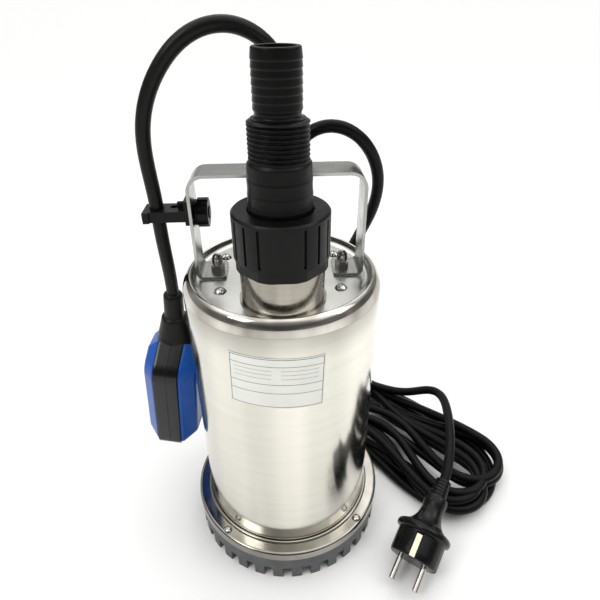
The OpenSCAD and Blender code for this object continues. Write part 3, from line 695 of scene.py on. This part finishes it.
lx, lz = 30.6, 20.0
film = quads("label_film_sheet", patch(-lx, lx, -lz, lz, 67.21, 40), "label")
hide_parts("rating_label")
bx, bz, lw = lx - 0.9, lz - 0.9, 0.38
lines = patch(-bx, bx, bz - lw, bz, 67.25) + patch(-bx, bx, -bz, -bz + lw, 67.25)
lines += patch(-bx, -bx + lw, -bz, bz, 67.25, 1) + patch(bx - lw, bx, -bz, bz, 67.25, 1)
for z in (13.4, -0.6, -7.6):
    lines += patch(-bx, bx, z - 0.15, z + 0.15, 67.25)
for z in (10.4, 7.2, 4.0):
    lines += patch(-bx + 3, -3, z - 0.09, z + 0.09, 67.25) + patch(3, bx - 3, z - 0.09, z + 0.09, 67.25)
quads("label_rules", lines, "ink")

# ---------------------------------------------------------------- stage and light
floor = mesh("floor", [(-150, -150, 0), (150, -150, 0), (150, 150, 0), (-150, 150, 0)], [(0, 1, 2, 3)], False)
fm = bpy.data.materials.new("m_floor")
fm.use_nodes = True
fb = fm.node_tree.nodes["Principled BSDF"]
fb.inputs["Base Color"].default_value = (0.93, 0.93, 0.925, 1)
fb.inputs["Roughness"].default_value = 0.85
fb.inputs["Specular IOR Level"].default_value = 0.1
floor.data.materials.append(fm)
floor.location.z = -0.0001

world = bpy.data.worlds.new("world")
bpy.context.scene.world = world
world.use_nodes = True
wt = world.node_tree
bg = wt.nodes["Background"]
tcw = wt.nodes.new("ShaderNodeTexCoord")


def dark_spot(direction, cos0, cos1, level):
    """A soft grey patch of the room around a direction."""
    dot = wt.nodes.new("ShaderNodeVectorMath")
    dot.operation = "DOT_PRODUCT"
    wt.links.new(tcw.outputs["Generated"], dot.inputs[0])
    dot.inputs[1].default_value = Vector(direction).normalized()
    r = wt.nodes.new("ShaderNodeMapRange")
    r.interpolation_type = "SMOOTHSTEP"
    r.inputs["From Min"].default_value, r.inputs["From Max"].default_value = cos0, cos1
    r.inputs["To Min"].default_value, r.inputs["To Max"].default_value = 1.0, level
    wt.links.new(dot.outputs["Value"], r.inputs["Value"])
    return r


glow = wt.nodes.new("ShaderNodeSeparateXYZ")
wt.links.new(tcw.outputs["Generated"], glow.inputs[0])
top = wt.nodes.new("ShaderNodeMapRange")
top.interpolation_type = "SMOOTHSTEP"
top.inputs["From Min"].default_value, top.inputs["From Max"].default_value = 0.40, 0.92
top.inputs["To Min"].default_value, top.inputs["To Max"].default_value = 0.36, 1.75
wt.links.new(glow.outputs["Z"], top.inputs["Value"])
spots = [dark_spot((0.0, -0.85, 0.5), 0.70, 0.96, 0.25), dark_spot((0.75, -0.6, 0.25), 0.90, 0.98, 0.45),
         dark_spot((-0.85, -0.3, 0.35), 0.88, 0.98, 0.4), dark_spot((0.04, 0.85, 0.53), 0.72, 0.95, 1.7),
         dark_spot((0.95, 0.25, 0.2), 0.92, 0.99, 0.4), dark_spot((-0.6, 0.75, 0.25), 0.92, 0.99, 0.45)]
val = top.outputs["Result"]
for s in spots:
    mu = wt.nodes.new("ShaderNodeMath")
    mu.operation = "MULTIPLY"
    wt.links.new(val, mu.inputs[0])
    wt.links.new(s.outputs["Result"], mu.inputs[1])
    val = mu.outputs[0]
bg.inputs["Color"].default_value = (1.0, 0.997, 0.99, 1)
wt.links.new(val, bg.inputs["Strength"])


def area(name, at, target, size, power, color=(1, 1, 1)):
    li = bpy.data.lights.new(name, "AREA")
    li.shape, li.size, li.energy, li.color = "SQUARE", size, power, color
    o = link(bpy.data.objects.new(name, li))
    o.location = at
    o.rotation_euler = (Vector(target) - Vector(at)).to_track_quat("-Z", "Y").to_euler()


area("key", (-0.9, -0.6, 1.3), (0, 0, 0.15), 0.5, 5.0, (1.0, 0.99, 0.97))
area("fill", (1.1, -0.2, 1.2), (0, 0, 0.15), 0.6, 2.5)
bpy.context.scene.view_settings.view_transform = "Standard"
bpy.context.scene.view_settings.look = "None"
